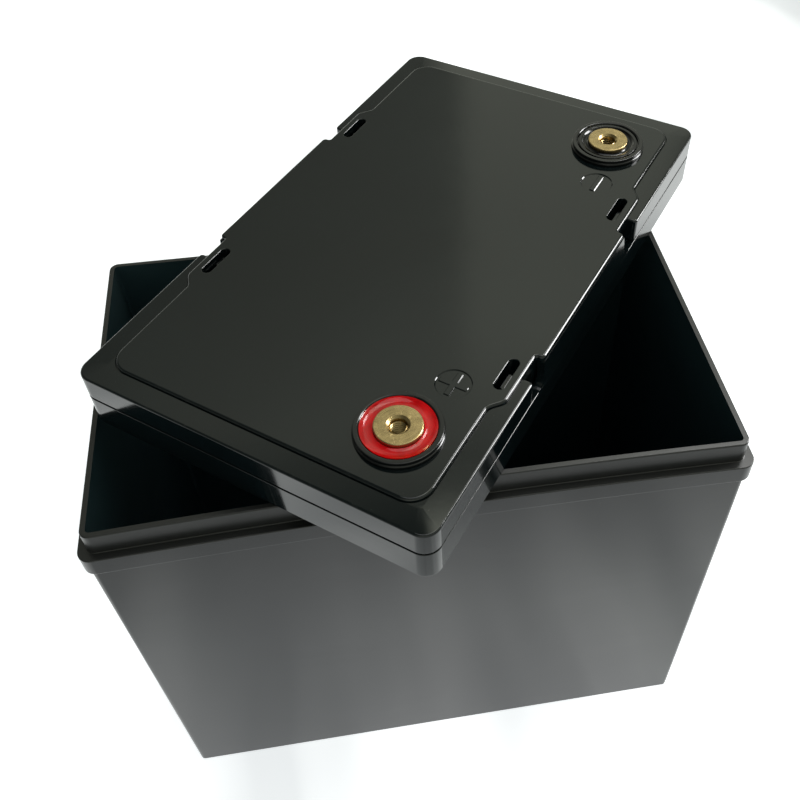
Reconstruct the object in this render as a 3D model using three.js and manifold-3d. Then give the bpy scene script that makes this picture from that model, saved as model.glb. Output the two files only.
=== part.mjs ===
// Battery case: an open moulded box with a loose lid that lies turned on the box's rim.
// Millimetres, +Z up. The origin is the middle of the box's underside, X runs along its long side
// and Y from front to back. The lid is drawn in a frame of its own, with z = 0 at its lower edge.
import * as THREE from 'three';
import { mergeVertices } from 'three/addons/utils/BufferGeometryUtils.js';
import Module from 'manifold-3d';

const wasm = await Module();
wasm.setup();

// ---------- driving dimensions ----------
const GAP = 0.3; // clearance between separate pieces
const OVERLAP = 1; // how far shapes that are joined or cut run past each other

// Box: outer sizes at the base, under the band, at the band and at the lip.
const BASE = { x: 222.5, y: 130.2, radius: 2 };
const BODY_TOP = { x: 225.8, y: 133 };
const BAND = { x: 229, y: 138, radius: 5 };
const LIP = { x: 223, y: 131.8, radius: 3.5 };
const RIM_Z = 192.5;
const LIP_HEIGHT = 9.2;
const BAND_HEIGHT = 8;
const LIP_THICKNESS = 2;
const WALL = 2.7;
const FLOOR = 3;
const FOOT_ROUNDING = 1.6;
const FLOOR_ROUNDING = 2;
const BOX_EDGE = 0.4;
const RING_STEP = 0.05; // the least rise between two rings of the box
const WALL_BOW = 2.1; // the long walls bend inwards by this much at the middle of the rim

// Lid: outer size, then heights above its lower edge.
const LID = { x: 229, y: 138, radius: 6 };
const LID_TURN = THREE.MathUtils.degToRad(52.2);
const LID_CENTRE = { x: 13.3, y: 32.9 };
const PARTING_Z = 12.85;
const RIM_TOP_Z = 23;
const PANEL_TOP_Z = 24.2;
const PLATE_UNDERSIDE_Z = 20;
const LID_WALL = 2.4;
const TONGUE_DEPTH = 3;
const RIM_ROUNDING = 1.1;
const EDGE_ROUNDING = 0.35;
const SKIRT_CLEARANCE = 0.5;

// Raised panel: it widens near the slots, and a lip reaches over the tab in the middle of each long side.
const PANEL_HALF_X = 106.5;
const PANEL_HALF_Y = 61;
const PANEL_WIDE_HALF_Y = 65;
const PANEL_RADIUS = 8;
const PANEL_FLARE_X = { outer: 64.5, inner: 57.5 };
const PANEL_EDGE_ROUNDING = 0.8;
const NOTCH_X = { outer: 46, inner: 36 };
const TAB = { thickness: 2.8, top: 21.8, footRadius: 5, lean: 0.09 }; // lean: inwards, per unit of height
const PANEL_LIP = { halfY: 67.9, radius: 1.8 };

// Handle slots, the pockets under them, which open into the notches, and the rib in each pocket.
const SLOT = { x: 48, y: 60, length: 14.5, width: 3.9 };
const POCKET = { inner: 39, outer: 56.5, back: 57.6, mouthEnd: 45.2, floorZ: 13, wall: 1.8 };
const RIB = { length: 8, width: 2.2, top: 20.4 };

// Terminals
const TERMINAL = { x: 85, y: -40.8 };
const POST_HEAD = { radius: 8, bottom: 24.9, top: 27.5, edge: 0.35 };
const SHANK = { radius: 5.3, end: 10.5, chamfer: 0.6 };
const BORE = { radius: 2.6, depth: 12, chamferRadius: 3.9, cone: 1 };
const SEAT = { radius: 14.8, top: 26.7, stepRadius: 14.4, stepZ: 25.3, edge: 0.3 };
const SEAT_CUP = { radius: 12.5, z: 25.2 };
const SEAT_RECESS = { radius: 8.4, z: 23.2 };
const SEAT_HUB = { radius: 11, end: 20.4 };
const SEAL = { outerDrop: 0.25, innerDrop: 0.35, sag: 0.55 };
const O_RING = { radius: 6.9, section: 0.6 };
const WASHER = { radius: 14, thickness: 1.5, edge: 0.2 };
const NUT = { acrossFlats: 16, thickness: 5, edge: 0.3 };

// Marks beside the terminals: a shallow round recess in which the plus or minus stands
const MARK = { x: 59.8, y: -46.6, radius: 6.3, bar: 10, width: 1.7, depth: 0.3 };

// ---------- materials ----------
const colour = (hex, roughness, metalness = 0) =>
  new THREE.MeshStandardMaterial({ color: hex, roughness, metalness });
const BLACK_ABS = () => colour(0x16181a, 0.25);
const BLACK_RESIN = () => colour(0x101113, 0.15);
const RED_RESIN = () => colour(0xc8141e, 0.12);
const BRASS = () => colour(0xc8ad72, 0.35, 1);
const RUBBER = () => colour(0x1a1a1a, 0.8);

// ---------- solids ----------
function toSolid(geometry) {
  const bare = geometry.clone();
  bare.deleteAttribute('normal');
  bare.deleteAttribute('uv');
  const merged = mergeVertices(bare, 1e-4);
  return new wasm.Manifold(new wasm.Mesh({
    numProp: 3,
    vertProperties: new Float32Array(merged.attributes.position.array),
    triVerts: new Uint32Array(merged.index.array),
  }));
}

function toGeometry(solid) {
  const mesh = solid.getMesh();
  const geometry = new THREE.BufferGeometry();
  geometry.setAttribute('position', new THREE.BufferAttribute(new Float32Array(mesh.vertProperties), 3));
  geometry.setIndex(new THREE.BufferAttribute(new Uint32Array(mesh.triVerts), 1));
  geometry.computeVertexNormals();
  return geometry;
}

function boxSolid(low, high) {
  const geometry = new THREE.BoxGeometry(high[0] - low[0], high[1] - low[1], high[2] - low[2]);
  geometry.translate((low[0] + high[0]) / 2, (low[1] + high[1]) / 2, (low[2] + high[2]) / 2);
  return toSolid(geometry);
}

// A shape in the XY plane made into a slab from low to high, with its edges rounded inwards.
function slabGeometry(shape, low, high, rounding = 0, curveSegments = 8) {
  const geometry = new THREE.ExtrudeGeometry(shape, {
    depth: high - low - 2 * rounding,
    bevelEnabled: rounding > 0,
    bevelThickness: rounding,
    bevelSize: rounding,
    bevelOffset: -rounding,
    bevelSegments: 2,
    curveSegments,
  });
  geometry.translate(0, 0, low + rounding);
  return geometry;
}

const slab = (...options) => toSolid(slabGeometry(...options));

const LATHE_STEPS = 40;
const THIN_LATHE_STEPS = 32;

function turned(profile, segments = LATHE_STEPS) {
  const points = profile.map(([radius, z]) => new THREE.Vector2(radius, z));
  const geometry = new THREE.LatheGeometry(points, segments);
  geometry.rotateX(Math.PI / 2);
  return geometry;
}

// ---------- outlines ----------
function roundedRectangle({ x, y, radius }) {
  const shape = new THREE.Shape();
  const corners = [[x / 2, y / 2, 0], [-x / 2, y / 2, 1], [-x / 2, -y / 2, 2], [x / 2, -y / 2, 3]];
  for (const [cornerX, cornerY, quarter] of corners) {
    const centreX = cornerX - Math.sign(cornerX) * radius;
    const centreY = cornerY - Math.sign(cornerY) * radius;
    const start = quarter * Math.PI / 2;
    shape.absarc(centreX, centreY, radius, start, start + Math.PI / 2);
  }
  shape.closePath();
  return shape;
}

const inset = ({ x, y, radius }, amount) =>
  ({ x: x - 2 * amount, y: y - 2 * amount, radius: Math.max(radius - amount, 1.2) });

// One quarter of an outline, mirrored into all four: the quarter runs from the +X axis to the +Y axis.
function fourfold(quarter) {
  const flipY = quarter.map(([x, y]) => [-x, y]).reverse();
  const flipBoth = quarter.map(([x, y]) => [-x, -y]);
  const flipX = quarter.map(([x, y]) => [x, -y]).reverse();
  const points = [...quarter, ...flipY, ...flipBoth, ...flipX].map(([x, y]) => new THREE.Vector2(x, y));
  return new THREE.Shape(points);
}

function cornerArc(x, y, radius, steps = 8) {
  return Array.from({ length: steps + 1 }, (_, step) => {
    const angle = step / steps * Math.PI / 2;
    return [x - radius + radius * Math.cos(angle), y - radius + radius * Math.sin(angle)];
  });
}

// A smooth S from one point to another that leaves and arrives along X.
function easeCurve([x0, y0], [x1, y1], steps = 8) {
  return Array.from({ length: steps - 1 }, (_, index) => {
    const t = (index + 1) / steps;
    return [x0 + (x1 - x0) * t, y0 + (y1 - y0) * (1 - Math.cos(Math.PI * t)) / 2];
  });
}

function panelOutline() {
  return fourfold([
    ...cornerArc(PANEL_HALF_X, PANEL_HALF_Y, PANEL_RADIUS),
    [PANEL_FLARE_X.outer, PANEL_HALF_Y],
    ...easeCurve([PANEL_FLARE_X.outer, PANEL_HALF_Y], [PANEL_FLARE_X.inner, PANEL_WIDE_HALF_Y]),
    [PANEL_FLARE_X.inner, PANEL_WIDE_HALF_Y],
  ]);
}

function rimOutline() {
  const endRadius = 1.5;
  const rimEnd = cornerArc(-NOTCH_X.outer, LID.y / 2, endRadius, 4).map(([x, y]) => [-x, y]).reverse();
  return fourfold([
    ...cornerArc(LID.x / 2, LID.y / 2, LID.radius),
    ...rimEnd,
    [NOTCH_X.outer, PANEL_WIDE_HALF_Y],
  ]);
}

function stadium({ x, y, length, width }) {
  const shape = new THREE.Shape();
  const radius = width / 2;
  const half = length / 2 - radius;
  shape.absarc(x + half, y, radius, -Math.PI / 2, Math.PI / 2);
  shape.absarc(x - half, y, radius, Math.PI / 2, Math.PI * 3 / 2);
  shape.closePath();
  return shape;
}

// ---------- box ----------
// One closed ring of points of the box at a height, with the long sides bent inwards by bow.
function boxRing({ x, y, radius }, z, bow) {
  const sideSteps = 14;
  const arc = cornerArc(x / 2, y / 2, radius, 5);
  const half = x / 2 - radius;
  const side = Array.from({ length: sideSteps - 1 }, (_, index) =>
    [half - 2 * half * (index + 1) / sideSteps, y / 2]);
  const leftArc = arc.map(([px, py]) => [-px, py]).reverse();
  const back = [...arc, ...side, ...leftArc];
  const front = back.map(([px, py]) => [-px, -py]);
  return [...back, ...front].map(([px, py]) => {
    const bend = bow * Math.max(0, 1 - (2 * px / x) ** 2) * (2 * py / y);
    return new THREE.Vector3(px, py - bend, z);
  });
}

// A closed skin over a stack of rings that all have the same number of points.
function stackedRings(rings) {
  const count = rings[0].length;
  const positions = rings.flat().flatMap((point) => point.toArray());
  const index = [];
  for (let level = 0; level < rings.length - 1; level += 1) {
    for (let i = 0; i < count; i += 1) {
      const a = level * count + i;
      const b = level * count + (i + 1) % count;
      index.push(a, b, b + count, a, b + count, a + count);
    }
  }
  const addCap = (level, flip) => {
    const ring = rings[level];
    const centre = positions.length / 3;
    positions.push(0, 0, ring[0].z);
    for (let i = 0; i < count; i += 1) {
      const a = level * count + i;
      const b = level * count + (i + 1) % count;
      index.push(...(flip ? [centre, b, a] : [centre, a, b]));
    }
  };
  addCap(0, true);
  addCap(rings.length - 1, false);
  const geometry = new THREE.BufferGeometry();
  geometry.setAttribute('position', new THREE.Float32BufferAttribute(positions, 3));
  geometry.setIndex(index);
  return geometry;
}

function caseBox() {
  const ledgeZ = RIM_Z - LIP_HEIGHT;
  const bandZ = ledgeZ - BAND_HEIGHT;
  const bowAt = (z) => WALL_BOW * (z / RIM_Z) ** 1.5;
  const bodyAt = (z) => ({
    x: THREE.MathUtils.lerp(BASE.x, BODY_TOP.x, z / bandZ),
    y: THREE.MathUtils.lerp(BASE.y, BODY_TOP.y, z / bandZ),
    radius: BASE.radius,
  });
  const mouth = inset(LIP, LIP_THICKNESS);
  const hollowAt = (z) => {
    const foot = inset(BASE, WALL);
    return {
      x: THREE.MathUtils.lerp(foot.x, mouth.x, z / RIM_Z),
      y: THREE.MathUtils.lerp(foot.y, mouth.y, z / RIM_Z),
      radius: mouth.radius,
    };
  };
  const outside = [];
  const inside = [];
  const addOutside = (outline, z) => outside.push(boxRing(outline, z, bowAt(z)));
  const addInside = (outline, z) => inside.push(boxRing(outline, z, bowAt(z)));

  for (const step of [0, 1, 2, 3]) {
    const angle = step / 3 * Math.PI / 2;
    const z = FOOT_ROUNDING * (1 - Math.cos(angle));
    addOutside(inset(bodyAt(z), FOOT_ROUNDING * (1 - Math.sin(angle))), z);
  }
  for (const fraction of [0.25, 0.5, 0.75, 1]) {
    addOutside(bodyAt(fraction * bandZ), fraction * bandZ);
  }
  addOutside(inset(BAND, BOX_EDGE), bandZ + RING_STEP);
  addOutside(BAND, bandZ + BOX_EDGE);
  addOutside(BAND, ledgeZ - BOX_EDGE);
  addOutside(inset(BAND, BOX_EDGE), ledgeZ);
  addOutside(LIP, ledgeZ + RING_STEP);
  addOutside(LIP, RIM_Z - BOX_EDGE);
  addOutside(inset(LIP, BOX_EDGE), RIM_Z);

  for (const step of [0, 1, 2, 3]) {
    const angle = step / 3 * Math.PI / 2;
    const z = FLOOR + FLOOR_ROUNDING * (1 - Math.cos(angle));
    addInside(inset(hollowAt(z), FLOOR_ROUNDING * (1 - Math.sin(angle))), z);
  }
  for (const fraction of [0.25, 0.5, 0.75, 1]) {
    const z = THREE.MathUtils.lerp(FLOOR + FLOOR_ROUNDING, RIM_Z, fraction);
    addInside(hollowAt(z), z);
  }
  return stackedRings([...outside, ...inside.reverse()]);
}

// ---------- lid ----------
function lidSkirt() {
  const opening = inset(LIP, -SKIRT_CLEARANCE);
  const ringTop = PARTING_Z - GAP;
  const ring = slab(roundedRectangle(LID), 0, ringTop, EDGE_ROUNDING)
    .subtract(slab(roundedRectangle(opening), -OVERLAP, ringTop + OVERLAP));

  // The tab is drawn from the side: its feet flow into the ring's top. Its lean starts at the ring's top.
  const { thickness, top, footRadius, lean } = TAB;
  const footX = NOTCH_X.inner + footRadius;
  const rootZ = ringTop - EDGE_ROUNDING;
  const side = new THREE.Shape();
  side.moveTo(-footX, rootZ);
  side.lineTo(footX, rootZ);
  side.absarc(footX, ringTop + footRadius, footRadius, -Math.PI / 2, -Math.PI, true);
  side.lineTo(NOTCH_X.inner, top);
  side.lineTo(-NOTCH_X.inner, top);
  side.absarc(-footX, ringTop + footRadius, footRadius, 0, -Math.PI / 2, true);
  side.closePath();
  const upright = slabGeometry(side, -LID.y / 2, thickness - LID.y / 2);
  upright.rotateX(Math.PI / 2);
  upright.translate(0, 0, -rootZ);
  upright.applyMatrix4(new THREE.Matrix4().makeShear(0, 0, 0, 0, 0, -lean));
  upright.translate(0, 0, rootZ);
  const tab = toSolid(upright);
  return toGeometry(ring.add(tab).add(tab.rotate([0, 0, 180])));
}

const mirroredSigns = [[1, 1], [1, -1], [-1, 1], [-1, -1]];

function handlePocket([signX, signY]) {
  const { inner, outer, back, floorZ, wall } = POCKET;
  const block = boxSolid(
    [inner - wall, back - wall, floorZ - wall],
    [outer + wall, PANEL_WIDE_HALF_Y, PLATE_UNDERSIDE_Z + OVERLAP],
  );
  return placeInQuadrant(block, signX, signY);
}

function handlePocketHollow([signX, signY]) {
  const { inner, outer, back, mouthEnd, floorZ, wall } = POCKET;
  const front = PANEL_WIDE_HALF_Y - wall;
  const hollow = boxSolid([inner, back, floorZ], [outer, front, PLATE_UNDERSIDE_Z]);
  const mouth = boxSolid(
    [inner, front - OVERLAP, floorZ],
    [mouthEnd, PANEL_WIDE_HALF_Y + OVERLAP, PLATE_UNDERSIDE_Z],
  );
  return placeInQuadrant(hollow.add(mouth), signX, signY);
}

function placeInQuadrant(solid, signX, signY) {
  let placed = solid;
  if (signX < 0) placed = placed.mirror([1, 0, 0]);
  if (signY < 0) placed = placed.mirror([0, 1, 0]);
  return placed;
}

function markCuts() {
  const bottom = PANEL_TOP_Z - MARK.depth;
  const top = PANEL_TOP_Z + OVERLAP;
  const bar = (length, width) => boxSolid(
    [-length / 2, -width / 2, bottom - OVERLAP],
    [length / 2, width / 2, top + OVERLAP],
  );
  const disc = toSolid(turned([[0, bottom], [MARK.radius, bottom], [MARK.radius, top], [0, top]]));
  const minus = disc.subtract(bar(MARK.bar, MARK.width));
  const plus = minus.subtract(bar(MARK.width, MARK.bar));
  return [plus.translate([-MARK.x, MARK.y, 0]), minus.translate([MARK.x, MARK.y, 0])];
}

function lidCover() {
  const belowParting = PARTING_Z - 2 * RIM_ROUNDING;
  const rim = slab(rimOutline(), belowParting, RIM_TOP_Z, RIM_ROUNDING)
    .subtract(boxSolid([-LID.x, -LID.y, 0], [LID.x, LID.y, PARTING_Z]));
  const panel = slab(panelOutline(), PLATE_UNDERSIDE_Z, PANEL_TOP_Z, PANEL_EDGE_ROUNDING);
  const lipOutline = { x: 2 * NOTCH_X.inner, y: 2 * PANEL_LIP.halfY, radius: PANEL_LIP.radius };
  const lips = slab(roundedRectangle(lipOutline), TAB.top + GAP, PANEL_TOP_Z, PANEL_EDGE_ROUNDING);
  let cover = rim.add(panel).add(lips);

  const tongue = { x: LIP.x - 2 * GAP, y: 2 * PANEL_WIDE_HALF_Y, radius: LIP.radius };
  const tongueEnd = PARTING_Z - TONGUE_DEPTH;
  const hollow = slab(roundedRectangle(inset(tongue, LID_WALL)), tongueEnd - OVERLAP, PLATE_UNDERSIDE_Z);
  cover = cover.add(slab(roundedRectangle(tongue), tongueEnd, PLATE_UNDERSIDE_Z)).subtract(hollow);

  for (const signs of mirroredSigns) cover = cover.add(handlePocket(signs));
  const holeRadius = SEAT_HUB.radius + GAP;
  const holeEnds = [PLATE_UNDERSIDE_Z - OVERLAP, PANEL_TOP_Z + OVERLAP];
  for (const signs of mirroredSigns) {
    const slot = { ...SLOT, x: signs[0] * SLOT.x, y: signs[1] * SLOT.y };
    const rib = { ...slot, length: RIB.length, width: RIB.width };
    cover = cover
      .subtract(handlePocketHollow(signs))
      .subtract(slab(stadium(slot), ...holeEnds))
      .add(slab(stadium(rib), POCKET.floorZ - OVERLAP, RIB.top));
  }
  const hole = toSolid(turned([
    [0, holeEnds[0]],
    [holeRadius, holeEnds[0]],
    [holeRadius, holeEnds[1]],
    [0, holeEnds[1]],
  ]));
  for (const side of [-1, 1]) {
    cover = cover.subtract(hole.translate([side * TERMINAL.x, TERMINAL.y, 0]));
  }
  for (const cut of markCuts()) cover = cover.subtract(cut);
  return toGeometry(cover);
}

// ---------- terminals ----------
function terminalPost() {
  const { radius, bottom, top, edge } = POST_HEAD;
  const boreEnd = top - BORE.depth;
  return turned([
    [0, SHANK.end],
    [SHANK.radius - SHANK.chamfer, SHANK.end],
    [SHANK.radius, SHANK.end + SHANK.chamfer],
    [SHANK.radius, bottom],
    [radius - edge, bottom],
    [radius, bottom + edge],
    [radius, top - edge],
    [radius - edge, top],
    [BORE.chamferRadius, top],
    [BORE.radius, top - BORE.chamferRadius + BORE.radius],
    [BORE.radius, boreEnd],
    [0, boreEnd - BORE.cone],
  ]);
}

function terminalSeat() {
  const flangeZ = PANEL_TOP_Z + GAP;
  const bore = SHANK.radius + GAP;
  const { radius, top, stepRadius, stepZ, edge } = SEAT;
  return turned([
    [bore, SEAT_HUB.end],
    [SEAT_HUB.radius, SEAT_HUB.end],
    [SEAT_HUB.radius, flangeZ],
    [radius, flangeZ],
    [radius, stepZ - edge],
    [stepRadius, stepZ],
    [stepRadius, top - edge],
    [stepRadius - edge, top],
    [SEAT_CUP.radius + edge, top],
    [SEAT_CUP.radius, top - edge],
    [SEAT_CUP.radius, SEAT_CUP.z],
    [SEAT_RECESS.radius, SEAT_CUP.z],
    [SEAT_RECESS.radius, SEAT_RECESS.z],
    [bore, SEAT_RECESS.z],
    [bore, SEAT_HUB.end],
  ]);
}

// The cast resin creeps up the seat's wall and the post's side, and dips between them.
function terminalSeal() {
  const inner = POST_HEAD.radius + GAP;
  const outer = SEAT_CUP.radius - GAP;
  const bottom = SEAT_CUP.z + GAP;
  const steps = 5;
  const surface = Array.from({ length: steps + 1 }, (_, step) => {
    const across = step / steps;
    const drop = THREE.MathUtils.lerp(SEAL.outerDrop, SEAL.innerDrop, across);
    const sag = SEAL.sag * Math.sin(Math.PI * across);
    return [THREE.MathUtils.lerp(outer, inner, across), SEAT.top - drop - sag];
  });
  return turned([[inner, bottom], [outer, bottom], ...surface, [inner, bottom]]);
}

function terminalORing() {
  const z = (SEAT_RECESS.z + POST_HEAD.bottom) / 2;
  const steps = 10;
  const points = Array.from({ length: steps + 1 }, (_, step) => {
    const angle = (step % steps) / steps * Math.PI * 2;
    return [O_RING.radius + O_RING.section * Math.cos(angle), z + O_RING.section * Math.sin(angle)];
  });
  return turned(points, THIN_LATHE_STEPS);
}

function terminalWasher() {
  const { radius, thickness, edge } = WASHER;
  const top = PLATE_UNDERSIDE_Z - GAP;
  const bottom = top - thickness;
  const bore = SHANK.radius + GAP;
  return turned([
    [bore, bottom],
    [radius - edge, bottom],
    [radius, bottom + edge],
    [radius, top],
    [bore, top],
    [bore, bottom],
  ]);
}

function terminalNut() {
  const top = PLATE_UNDERSIDE_Z - WASHER.thickness - 2 * GAP;
  const shape = new THREE.Shape();
  const corner = NUT.acrossFlats / 2 / Math.cos(Math.PI / 6);
  for (let side = 0; side < 6; side += 1) {
    const angle = side * Math.PI / 3;
    const [x, y] = [corner * Math.cos(angle), corner * Math.sin(angle)];
    if (side === 0) shape.moveTo(x, y);
    else shape.lineTo(x, y);
  }
  shape.closePath();
  const bore = new THREE.Path();
  bore.absarc(0, 0, SHANK.radius + GAP, 0, Math.PI * 2, true);
  shape.holes.push(bore);
  return toGeometry(slab(shape, top - NUT.thickness, top, NUT.edge, THIN_LATHE_STEPS / 2));
}

// ---------- assembly ----------
function mesh(name, geometry, material) {
  const piece = new THREE.Mesh(geometry, material);
  piece.name = name;
  return piece;
}

const battery = new THREE.Group();
battery.add(mesh('case_box', caseBox(), BLACK_ABS()));

const lid = new THREE.Group();
lid.position.set(LID_CENTRE.x, LID_CENTRE.y, RIM_Z + GAP);
lid.rotation.z = LID_TURN;
lid.add(mesh('lid_cover', lidCover(), BLACK_ABS()));
lid.add(mesh('lid_skirt', lidSkirt(), BLACK_ABS()));

const poles = [
  { name: 'positive', side: -1, resin: RED_RESIN },
  { name: 'negative', side: 1, resin: BLACK_RESIN },
];
for (const { name, side, resin } of poles) {
  const terminal = new THREE.Group();
  terminal.position.set(side * TERMINAL.x, TERMINAL.y, 0);
  terminal.add(mesh(`${name}_terminal_post`, terminalPost(), BRASS()));
  terminal.add(mesh(`${name}_terminal_seat`, terminalSeat(), BLACK_ABS()));
  terminal.add(mesh(`${name}_terminal_seal`, terminalSeal(), resin()));
  terminal.add(mesh(`${name}_terminal_o_ring`, terminalORing(), RUBBER()));
  terminal.add(mesh(`${name}_terminal_washer`, terminalWasher(), BRASS()));
  terminal.add(mesh(`${name}_terminal_nut`, terminalNut(), BRASS()));
  lid.add(terminal);
}
battery.add(lid);

export default battery;
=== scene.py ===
"""Battery case: an open moulded box with its loose lid lying turned on the rim, on a pale studio floor."""
import math

import bmesh
import bpy
from mathutils import Matrix, Vector


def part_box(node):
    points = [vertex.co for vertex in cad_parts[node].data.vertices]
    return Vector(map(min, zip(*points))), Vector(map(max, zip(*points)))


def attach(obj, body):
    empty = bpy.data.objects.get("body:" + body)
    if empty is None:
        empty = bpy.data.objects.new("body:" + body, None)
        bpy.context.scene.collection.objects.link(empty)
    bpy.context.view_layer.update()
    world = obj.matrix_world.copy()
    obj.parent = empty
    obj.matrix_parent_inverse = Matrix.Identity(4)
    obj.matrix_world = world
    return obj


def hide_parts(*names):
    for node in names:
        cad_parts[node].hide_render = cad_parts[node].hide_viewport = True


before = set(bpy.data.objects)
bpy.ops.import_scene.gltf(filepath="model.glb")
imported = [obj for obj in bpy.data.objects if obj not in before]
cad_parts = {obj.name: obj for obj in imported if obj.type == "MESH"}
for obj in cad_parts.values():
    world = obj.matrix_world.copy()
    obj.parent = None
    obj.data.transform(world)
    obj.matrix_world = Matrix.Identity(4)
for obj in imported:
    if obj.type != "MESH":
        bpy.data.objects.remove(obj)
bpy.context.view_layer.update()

MM = 0.001

# ---------- sizes in millimetres, as the CAD part has them ----------
# Box: outer length, width and corner radius at four levels.
BASE = (222.5, 130.2, 2.0)
BODY_TOP = (225.8, 133.0, 2.0)
BAND = (229.0, 138.0, 5.0)
LIP = (223.0, 131.8, 3.5)
LIP_HEIGHT = 9.2
BAND_HEIGHT = 8.0
LIP_THICKNESS = 2.0
WALL = 2.7
FLOOR_THICKNESS = 3.0
WALL_BOW = 2.1

# Lid: heights are above its lower edge.
LID_TURN = math.radians(52.2)
LID = (229.0, 138.0, 6.0)
PARTING_Z = 12.85
RIM_OUTER_Z = 22.75
RIM_INNER_Z = 23.15
RIM_WIDTH = 8.0
RIM_END = 1.5  # radius of the rim's corners beside the notches
RIM_END_STEPS = 5
PANEL_TOP_Z = 24.2
PLATE_UNDERSIDE_Z = 20.0
GAP = 0.3
PARTING_OPENING = 0.2  # the dark line round the lid is opened by this much above and below
RING_TOP_Z = PARTING_Z - GAP - PARTING_OPENING
PLAY = 0.5  # between the box's lip and the opening of the lid's lower ring
NOTCH = (36.0, 46.0)  # from the tab's side to the rim's end
PANEL_HALF = (106.5, 61.0)
PANEL_WIDE_HALF_Y = 65.0
PANEL_RADIUS = 8.0
PANEL_FLARE = (64.5, 57.5)  # where the panel starts and stops widening
LIP_OVER_TAB_HALF_Y = 67.9
TONGUE_HALF_Y = PANEL_WIDE_HALF_Y - 0.05
TONGUE_THICKNESS = 2.4
TONGUE_LENGTH = 3.0  # how far the tongue reaches below the parting line

# Handle slots, the pockets and ribs under them, and the tabs between them.
SLOT = {"x": 48.0, "y": 60.0, "length": 14.5, "width": 3.9}
POCKET = {"inner": 39.0, "outer": 56.5, "back": 57.6, "wall": 1.8, "floor": 13.0}
RIB = {"length": 8.0, "width": 2.2, "top": 20.4}
TAB = {"thickness": 2.8, "top": 21.8, "foot": 5.0, "lean": 0.09}

# Terminals, and the plus and minus beside them.
TERMINAL = (85.0, -40.8)
SEAT_HUB_RADIUS = 11.0
SEAT_RADIUS = 14.8
POST_RADIUS = 8.0
POST_TOP_Z = 27.5
SEAL_FOOT_Z = 25.4
MARK = {"x": 59.8, "y": -46.6, "radius": 6.3, "bar": 10.0, "width": 1.7, "depth": 0.4}

# ---------- how finely shapes are drawn ----------
OVERLAP = 1.0  # how far a joining or cutting shape reaches past the surface that it meets
EDGE_STEPS = 6
HOLE_SEGMENTS = 96
SHARP_ANGLE = math.radians(32)

# ---------- places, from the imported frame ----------
case_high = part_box("case_box")[1]
RIM_Z = case_high.z / MM
skirt_low, skirt_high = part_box("lid_skirt")
lid_centre = (skirt_low + skirt_high) / 2
LID_PLACE = (
    Matrix.Translation((lid_centre.x, lid_centre.y, skirt_low.z))
    @ Matrix.Rotation(LID_TURN, 4, "Z")
    @ Matrix.Scale(MM, 4)
)


# ---------- mesh tools ----------
def arc(centre, radius, start, end, steps):
    """Points on an arc, angles in degrees, both ends included."""
    angles = [math.radians(start + (end - start) * step / steps) for step in range(steps + 1)]
    return [(centre[0] + radius * math.cos(a), centre[1] + radius * math.sin(a)) for a in angles]


def rounded_rectangle(length, width, radius, steps=10):
    points = []
    for quarter, (sx, sy) in enumerate([(1, 1), (-1, 1), (-1, -1), (1, -1)]):
        centre = (sx * (length / 2 - radius), sy * (width / 2 - radius))
        points += arc(centre, radius, 90 * quarter, 90 * quarter + 90, steps)
    return points


def fourfold(quarter):
    """Mirrors a quarter outline, which runs from the +X side to the +Y side, into all four quarters."""
    top_left = [(-x, y) for x, y in reversed(quarter)]
    bottom_left = [(-x, -y) for x, y in quarter]
    bottom_right = [(x, -y) for x, y in reversed(quarter)]
    return [*quarter, *top_left, *bottom_left, *bottom_right]


def offset(outline, amounts):
    """Moves each point of a closed anticlockwise outline outwards by its own amount."""
    moved = []
    for index, here in enumerate(outline):
        before, after = outline[index - 1], outline[(index + 1) % len(outline)]
        into = Vector((here[0] - before[0], here[1] - before[1])).normalized()
        out_of = Vector((after[0] - here[0], after[1] - here[1])).normalized()
        normal_a, normal_b = Vector((into.y, -into.x)), Vector((out_of.y, -out_of.x))
        mitre = (normal_a + normal_b) / (1 + normal_a.dot(normal_b))
        moved.append((here[0] + mitre.x * amounts[index], here[1] + mitre.y * amounts[index]))
    return moved


def at_height(outline, z):
    return [(x, y, z) for x, y in outline]


def stack(rings, closed=False):
    """A skin over rings with equal numbers of points: capped at both ends, or closed on itself."""
    bm = bmesh.new()
    loops = [[bm.verts.new(point) for point in ring] for ring in rings]
    count = len(loops[0])
    pairs = list(zip(loops, loops[1:]))
    if closed:
        pairs.append((loops[-1], loops[0]))
    for low, high in pairs:
        for a in range(count):
            b = (a + 1) % count
            bm.faces.new((low[a], low[b], high[b], high[a]))
    if not closed:
        bm.faces.new(list(reversed(loops[0])))
        bm.faces.new(loops[-1])
    bmesh.ops.recalc_face_normals(bm, faces=bm.faces)
    return bm


def prism(outline, low, high):
    return stack([at_height(outline, low), at_height(outline, high)])


def block(low, high):
    outline = [(low[0], low[1]), (high[0], low[1]), (high[0], high[1]), (low[0], high[1])]
    return prism(outline, low[2], high[2])


def lathe(profile, segments=128, closed=False):
    """Turns (radius, z) points about the Z axis."""
    circle = [2 * math.pi * step / segments for step in range(segments)]
    rings = [[(r * math.cos(a), r * math.sin(a), z) for a in circle] for r, z in profile]
    return stack(rings, closed)


def to_object(name, bm):
    mesh = bpy.data.meshes.new(name)
    bm.to_mesh(mesh)
    bm.free()
    obj = bpy.data.objects.new(name, mesh)
    bpy.context.scene.collection.objects.link(obj)
    return obj


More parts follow.
